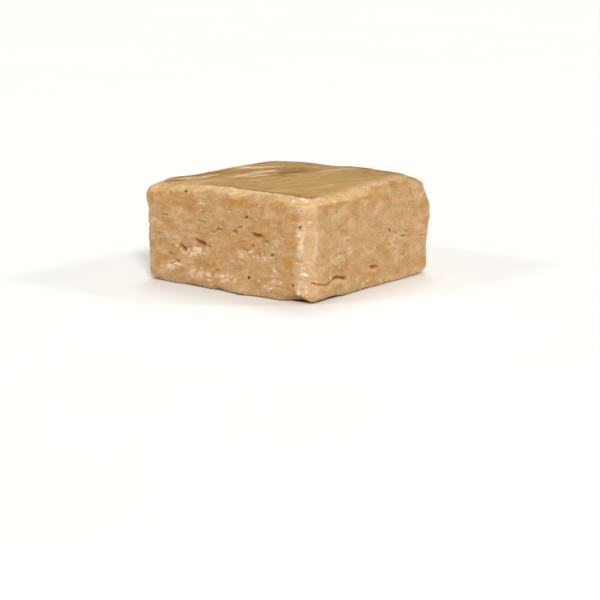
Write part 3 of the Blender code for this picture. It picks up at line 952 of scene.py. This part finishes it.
@dataclass
class FudgeSkin:
    """The visible skin of the block: a fine mesh over the whole solid, sculpted and dressed."""

    finish: FudgeFinish = field(default_factory=FudgeFinish)
    sides: CutSides = field(default_factory=CutSides)
    corner: BluntCorner = field(default_factory=BluntCorner)
    foot: Foot = field(default_factory=Foot)
    top: PouredTop = field(default_factory=PouredTop)
    voxel: float = 0.55
    smoothing: int = 7

    def build(self) -> bpy.types.Object:
        """Makes the skin, stands it for the solid and gives it its finish.

        Returns:
            The finished object.
        """
        mesh = self.fine_mesh()
        self.refine(mesh)
        shares = self.sculpt(mesh)
        bmesh.ops.scale(mesh, vec=(MM, MM, MM), verts=mesh.verts)
        data = bpy.data.meshes.new("fudge_skin")
        mesh.to_mesh(data)
        mesh.free()
        for name, values in shares.items():
            data.attributes.new(name, "FLOAT", "POINT").data.foreach_set("value", values.astype(np.float32))
        data.shade_smooth()
        data.materials.append(self.finish.material())
        skin = bpy.data.objects.new("fudge_skin", data)
        bpy.context.scene.collection.objects.link(skin)
        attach(skin, BODY)
        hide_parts(BLOCK)
        return skin

    def fine_mesh(self) -> bmesh.types.BMesh:
        """The solid as an even mesh of small squares, in millimetres, with its facets smoothed away."""
        mesh = bmesh.new()
        mesh.from_mesh(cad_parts[BLOCK].data)
        bmesh.ops.scale(mesh, vec=(1 / MM,) * 3, verts=mesh.verts)
        bmesh.ops.remove_doubles(mesh, verts=mesh.verts, dist=0.001)
        data = bpy.data.meshes.new("blank")
        mesh.to_mesh(data)
        mesh.free()
        blank = bpy.data.objects.new("blank", data)
        bpy.context.scene.collection.objects.link(blank)
        remesh = blank.modifiers.new("even", "REMESH")
        remesh.mode = "VOXEL"
        remesh.voxel_size = self.voxel
        smooth = blank.modifiers.new("smooth", "SMOOTH")
        smooth.iterations = self.smoothing
        evaluated = blank.evaluated_get(bpy.context.evaluated_depsgraph_get())
        even = bmesh.new()
        even.from_mesh(evaluated.to_mesh())
        evaluated.to_mesh_clear()
        bpy.data.objects.remove(blank)
        bpy.data.meshes.remove(data)
        return even

    def cloud(self, mesh: bmesh.types.BMesh) -> Cloud:
        """The mesh's vertices as arrays."""
        mesh.verts.index_update()
        mesh.normal_update()
        points = np.array([vertex.co for vertex in mesh.verts])
        normals = np.array([vertex.normal for vertex in mesh.verts])
        return Cloud(points, normals)

    def refine(self, mesh: bmesh.types.BMesh) -> None:
        """Halves the mesh's squares but for the underside's, and once more beside the cracks."""
        cloud = self.cloud(mesh)
        fine = (cloud.points[:, 2] > 0.3) | (cloud.normals[:, 2] > -0.4)
        self.halve(mesh, fine)
        cloud = self.cloud(mesh)
        near = np.zeros(len(cloud.points), bool)
        for tear in self.sides.tears():
            near |= tear.near(cloud)
        self.halve(mesh, near)

    def halve(self, mesh: bmesh.types.BMesh, chosen: np.ndarray) -> None:
        """Cuts in two every edge whose two ends are chosen."""
        edges = [edge for edge in mesh.edges if all(chosen[vertex.index] for vertex in edge.verts)]
        bmesh.ops.subdivide_edges(mesh, edges=edges, cuts=1, use_grid_fill=True)

    def sculpt(self, mesh: bmesh.types.BMesh) -> dict[str, np.ndarray]:
        """Moves the vertices to the finished surface.

        Args:
            mesh: the fine mesh, in millimetres.

        Returns:
            For each attribute that the material reads, one value to a vertex.
        """
        cloud = self.cloud(mesh)
        marks = Marks.on(cloud)
        for piece in (self.sides, self.corner, self.top):
            piece.carve(cloud, marks)
        low = eased(cloud.points[:, 2] / 0.8)
        moved = cloud.points + cloud.normals * (marks.outwards * low)[:, None]
        moved[:, 2] = np.maximum(moved[:, 2] + marks.upwards * low, 0) + self.foot.lift(cloud)
        for vertex, place in zip(mesh.verts, moved):
            vertex.co = place
        relief = self.relief(mesh)
        matt = 1 - marks.shares["skin"]
        # Painted shade in the relief's hollows and painted highlight on its bumps.
        marks.deepen("shade", np.clip((-relief - 0.02) / 0.25, 0, 1) * 0.5 * matt)
        marks.deepen("bump_highlight", np.clip((relief - 0.02) / 0.16, 0, 1) * 0.45 * matt)
        return marks.shares

    def relief(self, mesh: bmesh.types.BMesh) -> np.ndarray:
        """How far each vertex stands out of the mesh around it, in millimetres."""
        cloud = self.cloud(mesh)
        ends = np.array([[vertex.index for vertex in edge.verts] for edge in mesh.edges])
        count = np.bincount(ends.ravel(), minlength=len(cloud.points))[:, None]
        level = cloud.points.copy()
        for _ in range(12):
            total = np.zeros_like(level)
            for axis in range(3):
                total[:, axis] = np.bincount(ends[:, 0], level[ends[:, 1], axis], len(level))
                total[:, axis] += np.bincount(ends[:, 1], level[ends[:, 0], axis], len(level))
            level = 0.5 * level + 0.5 * total / count
        return ((cloud.points - level) * cloud.normals).sum(axis=1)


@dataclass
class Inclusions:
    """Small bits held in the skin, such as sugar crystals or crumbs, joined into one mesh of a kind."""

    name: str
    material: bpy.types.Material
    seed: int
    roundness: float = 0.6
    facets: int = 1
    sink: float = 0.25
    crease: float = 35.0

    def build(self, skin: bpy.types.Object, placed: list[tuple[Vector, float]]) -> bpy.types.Object:
        """Makes the bits and sets each one half into the skin.

        Args:
            skin: the finished skin.
            placed: a wanted place and a radius for each bit, in millimetres.

        Returns:
            The finished object.
        """
        draw = random.Random(self.seed)
        mesh = bmesh.new()
        for place, radius in placed:
            found, spot, normal, _ = skin.closest_point_on_mesh(place * MM)
            if found:
                self.add_bit(mesh, spot / MM, normal, radius, draw)
        bmesh.ops.scale(mesh, vec=(MM, MM, MM), verts=mesh.verts)
        data = bpy.data.meshes.new(self.name)
        mesh.to_mesh(data)
        mesh.free()
        data.shade_smooth()
        data.set_sharp_from_angle(angle=math.radians(self.crease))
        data.materials.append(self.material)
        bits = bpy.data.objects.new(self.name, data)
        bpy.context.scene.collection.objects.link(bits)
        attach(bits, BODY)
        return bits

    def add_bit(self, mesh: bmesh.types.BMesh, spot: Vector, normal: Vector, radius: float, draw: random.Random) -> None:
        """Adds one uneven bit, flattened towards the skin and sunk into it."""
        made = bmesh.ops.create_icosphere(mesh, subdivisions=self.facets, radius=radius)["verts"]
        for vertex in made:
            vertex.co *= draw.uniform(self.roundness, 1.15)
        shape = Matrix.Diagonal((draw.uniform(0.8, 1.3), draw.uniform(0.5, 0.9), 0.55, 1))
        turn, lean = draw.uniform(0, 2 * math.pi), min(0.4, 0.12 / radius)
        spin = Matrix.Rotation(turn if radius < 0.7 else -0.25, 4, "Z")
        tilt = Euler((draw.uniform(-lean, lean), draw.uniform(-lean, lean), 0)).to_matrix().to_4x4()
        face = normal.to_track_quat("Z", "Y").to_matrix().to_4x4()
        sink = self.sink if radius < 0.7 else -0.25
        move = Matrix.Translation(spot - normal * radius * sink)
        bmesh.ops.transform(mesh, matrix=move @ face @ tilt @ spin @ shape, verts=made)


def on_side(side: Side, along: float, height: float) -> Vector:
    """The point on the main face of a side at that place along it and that height."""
    return Vector(side.outward() * distance_of(side) + side.along() * along + np.array((0, 0, height)))


def cluster(draw: random.Random, side: Side, centre: Place, reach: Place, count: int, low: float, high: float) -> list:
    """Random bits round a place on a side, most of them small.

    Args:
        draw: the source of chance.
        side: the side that they are on.
        centre: the place along it and the height of their middle.
        reach: how far they spread each way.
        count: how many there are.
        low: the smallest radius.
        high: the largest radius.

    Returns:
        A place and a radius for each bit.
    """
    made = []
    for _ in range(count):
        along = centre[0] + draw.gauss(0, reach[0] / 2)
        height = min(max(centre[1] + draw.gauss(0, reach[1] / 2), 0.5), RIM_HEIGHT)
        made.append((on_side(side, along, height), low + (high - low) * draw.random() ** 3))
    return made


def crystal_places() -> list[tuple[Vector, float]]:
    """Where the sugar crystals are: the large ones that show, and many small ones all round."""
    front, right, back, left = Side
    shown = [
        (front, -6.0, 17.9, 0.42), (front, -2.9, 18.5, 0.28), (front, 9.3, 18.7, 0.3), (front, 1.5, 16.8, 0.35),
        (front, 13.4, 6.0, 0.64), (front, 13.9, 6.2, 0.25), (front, 12.3, 2.3, 0.45), (front, 9.2, 3.5, 0.35),
        (front, 10.8, 3.6, 0.3), (front, 11.8, 1.9, 0.3), (front, -9.7, 6.5, 0.4), (front, -14.2, 3.8, 0.5),
        (front, -15.2, 4.3, 0.35), (front, -12.9, 4.6, 0.3), (front, -6.7, 2.0, 0.5), (front, 20.9, 6.4, 0.84),
        (front, -6.1, 16.4, 0.25), (front, 7.6, 8.3, 0.3), (front, 9.6, 8.7, 0.35), (front, 18.9, 14.0, 0.3),
        (right, -13.7, 4.5, 0.5), (front, 19.6, 2.2, 0.5), (front, 20.5, 1.9, 0.35), (right, -1.5, 1.7, 0.6), (right, -1.0, 1.9, 0.4), (right, 10.0, 18.7, 0.25),
        (right, 11.1, 4.9, 0.35), (right, 6.9, 2.9, 0.3), (right, -20.6, 2.6, 0.35), (right, 12.5, 5.2, 0.2),
    ]  # fmt: skip
    made = [(on_side(side, along, height), radius) for side, along, height, radius in shown]
    draw = random.Random(5)
    for side, centre, reach, count in (
        (front, (-8.5, 7.4), (5.5, 1.8), 26), (front, (-14.2, 4.2), (3.0, 1.2), 16), (front, (9.5, 6.5), (7.0, 4.0), 26),
        (front, (10.5, 3.0), (5.0, 1.8), 18), (front, (-5.0, 17.0), (5.0, 2.6), 14), (front, (19.6, 10.8), (0.9, 6.5), 40),
        (front, (0.0, 10.0), (22.0, 10.0), 46), (right, (-9.0, 8.5), (6.0, 4.0), 20), (right, (8.0, 8.0), (7.0, 4.0), 18),
        (right, (-18.6, 11.0), (0.6, 9.0), 16), (right, (0.0, 10.0), (22.0, 10.0), 34), (back, (-9.0, 8.0), (6.0, 2.0), 26),
        (back, (9.0, 6.0), (8.0, 4.0), 30), (back, (0.0, 10.0), (22.0, 10.0), 56), (left, (6.0, 10.0), (6.0, 2.0), 24),
        (left, (-10.0, 6.0), (5.0, 2.0), 18), (left, (0.0, 10.0), (22.0, 10.0), 56),
    ):  # fmt: skip
        made += cluster(draw, side, centre, reach, count, 0.08, 0.3)
    return made


def crumb_places() -> list[tuple[Vector, float]]:
    """Where loose crumbs cling: in the torn places, on the scraped corner and along the foot."""
    front, right, back, left = Side
    draw = random.Random(6)
    made = []
    for side, centre, reach, count in (
        (front, (-8.4, 7.8), (5.0, 1.4), 16), (front, (-14.2, 4.3), (2.6, 1.0), 8), (front, (8.0, 8.8), (4.0, 1.0), 8),
        (front, (19.6, 10.5), (0.5, 5.5), 26), (front, (20.6, 8.0), (1.4, 2.2), 16), (right, (-19.0, 16.2), (1.6, 1.8), 12), (right, (0.0, 1.2), (18.0, 0.8), 12),
        (front, (2.0, 1.2), (18.0, 0.8), 14), (back, (-9.0, 8.0), (5.0, 1.4), 14), (back, (0.0, 1.2), (18.0, 0.8), 12),
        (left, (6.0, 10.4), (4.5, 1.2), 12), (left, (0.0, 1.2), (18.0, 0.8), 12),
    ):  # fmt: skip
        made += cluster(draw, side, centre, reach, count, 0.15, 0.45)
    return made


def speck_places() -> list[tuple[Vector, float]]:
    """Where the dark specks are."""
    front, right, back, left = Side
    shown = [
        (front, -10.3, 20.3, 0.4), (front, 6.2, 16.3, 0.34), (front, 19.5, 15.5, 0.5), (front, 20.2, 18.9, 0.22),
        (front, 6.8, 3.9, 0.4), (front, 17.9, 3.7, 0.36), (front, 17.8, 6.0, 0.2), (front, -1.5, 4.5, 0.2),
        (right, 6.4, 11.4, 0.36), (right, -11.6, 6.5, 0.2), (back, -12.6, 14.1, 0.3), (back, 3.4, 16.9, 0.28),
        (back, 14.2, 7.3, 0.34), (left, -8.2, 13.4, 0.3), (left, 11.6, 16.2, 0.26), (left, 2.3, 4.6, 0.32),
    ]  # fmt: skip
    made = [(on_side(side, along, height), radius) for side, along, height, radius in shown]
    draw = random.Random(8)
    for side, count in ((front, 3), (right, 3), (back, 6), (left, 5)):
        made += cluster(draw, side, (0.0, 10.0), (26.0, 12.0), count, 0.12, 0.24)
    return made


@dataclass(frozen=True)
class Lamp:
    """A large softbox far away. Angles are in degrees, and the share is of the light that white paint needs."""

    name: str
    azimuth: float
    elevation: float
    share: float
    width: float
    colour: str = "#FFFFFF"

    def build(self) -> None:
        """Adds the lamp, pointing at the block."""
        azimuth, elevation = math.radians(self.azimuth), math.radians(self.elevation)
        level = math.cos(elevation)
        way = Vector((math.sin(azimuth) * level, -math.cos(azimuth) * level, math.sin(elevation)))
        lamp = bpy.data.lights.new(self.name, "SUN")
        lamp.energy = self.share * math.pi
        lamp.angle = math.radians(self.width)
        lamp.color = linear(self.colour)[:3]
        holder = bpy.data.objects.new(self.name, lamp)
        holder.location = way * 0.6
        holder.rotation_euler = way.to_track_quat("Z", "Y").to_euler()
        bpy.context.scene.collection.objects.link(holder)


@dataclass
class Studio:
    """A white table, soft light and the camera. Lengths in millimetres, angles in degrees."""

    heading: float = 38.2
    tilt: float = 12.494
    stand: Size = (264.5, -332.1, 88.7)
    lens: float = 122.3
    floor_half: float = 4000.0
    lamps: tuple[Lamp, ...] = (
        Lamp("key", 47, 34, 0.725, 12, "#FFFDF8"),
        Lamp("left_glint", -36, 32, 0.2, 9),
        Lamp("right_glint", 130, 32, 0.24, 9),
        Lamp("back", 216, 60, 0.3, 30),
        Lamp("rear_glint", 214, 32, 0.024, 6),
    )

    def build(self) -> None:
        """Makes the floor, the lights, the world and the camera."""
        self.floor()
        for lamp in self.lamps:
            lamp.build()
        self.world()
        self.camera()
        bpy.context.scene.view_settings.view_transform = "Standard"

    def floor(self) -> None:
        """The table top, far wider than the view."""
        mesh = bmesh.new()
        bmesh.ops.create_grid(mesh, x_segments=8, y_segments=8, size=self.floor_half * MM)
        data = bpy.data.meshes.new("table")
        mesh.to_mesh(data)
        mesh.free()
        data.materials.append(TableFinish().material())
        table = bpy.data.objects.new("table", data)
        bpy.context.scene.collection.objects.link(table)

    def world(self) -> None:
        """A white ceiling over a dim room. The camera sees the room white, like the table."""
        world = bpy.data.worlds.new("studio")
        world.use_nodes = True
        add = partial(add_node, world.node_tree)
        background = world.node_tree.nodes["Background"]
        way = add("ShaderNodeTexCoord", out="Generated")
        height = add("ShaderNodeSeparateXYZ", {0: way}, "Z")
        bright = add("ShaderNodeMapRange", {0: height, 1: 0.58, 2: 1.0, 3: 0.04, 4: 0.8}, interpolation_type="SMOOTHSTEP")
        seen = add("ShaderNodeLightPath", out="Is Camera Ray")
        strength = add("ShaderNodeMix", {0: seen, 2: bright, 3: 0.9})
        world.node_tree.links.new(strength, background.inputs["Strength"])
        background.inputs["Color"].default_value = (1, 1, 1, 1)
        bpy.context.scene.world = world

    def camera(self) -> None:
        """The camera, level from side to side and tilted down a little."""
        data = bpy.data.cameras.new("camera")
        data.lens = self.lens
        camera = bpy.data.objects.new("camera", data)
        camera.location = Vector(self.stand) * MM
        camera.rotation_euler = (math.radians(90 - self.tilt), 0, math.radians(self.heading))
        bpy.context.scene.collection.objects.link(camera)
        bpy.context.scene.camera = camera


def main() -> None:
    """Builds the piece and the studio, and reports each piece."""
    logging.basicConfig(level=logging.INFO, format="%(name)s: %(message)s")
    skin = FudgeSkin().build()
    bpy.context.view_layer.update()
    crystals = Inclusions("sugar_crystals", SugarFinish().material(), 21).build(skin, crystal_places())
    crumbs = Inclusions("crumbs", CrumbFinish().material(), 23, 0.75, 2, 0.1).build(skin, crumb_places())
    specks = Inclusions("dark_specks", SpeckFinish().material(), 22, 0.8, 2, 0.0).build(skin, speck_places())
    Studio().build()
    for piece in (skin, crystals, crumbs, specks):
        log.info("%s: %d faces", piece.name, len(piece.data.polygons))


if __name__ == "__main__":
    main()
